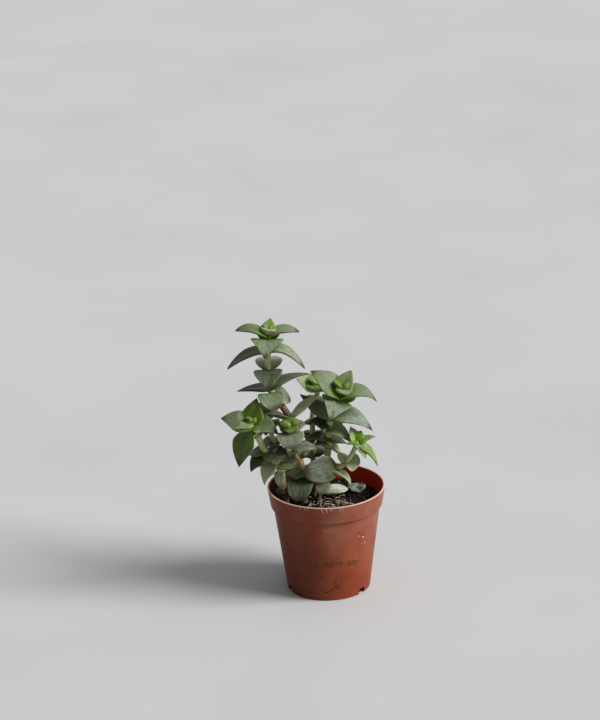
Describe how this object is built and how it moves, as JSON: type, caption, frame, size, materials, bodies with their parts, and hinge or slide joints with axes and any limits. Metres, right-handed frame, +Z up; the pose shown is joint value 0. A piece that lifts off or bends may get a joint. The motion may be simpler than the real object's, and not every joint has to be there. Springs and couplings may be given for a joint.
{
  "type": "potted succulent",
  "caption": "A small string of buttons succulent: leafy shoots with stacked pointed leaf pairs, growing in soil in a thin terracotta-coloured plastic nursery pot with a collar and foot notches.",
  "frame": {"origin": "centre of the pot's base, on its underside", "axes": "+Z up along the pot's axis, +X to the viewer's right in the usual front view, +Y away from the viewer"},
  "size_m": [0.075, 0.055, 0.132],
  "materials": {
    "pot_plastic": "satin, slightly dirty",
    "soil": "dark crumbly potting soil",
    "foliage": "fleshy green leaf with a grey bloom",
    "dropped_leaf": "pale dried leaf"
  },
  "bodies": {
    "root": {"pot": "pot_plastic", "soil": "soil", "tall_shoot": "foliage", "right_shoot": "foliage", "left_shoot": "foliage", "back_shoot": "foliage", "rear_shoot": "foliage", "low_shoot": "foliage", "fallen_leaf": "dropped_leaf", "dry_leaf": "dropped_leaf"}
  },
  "joints": []
}
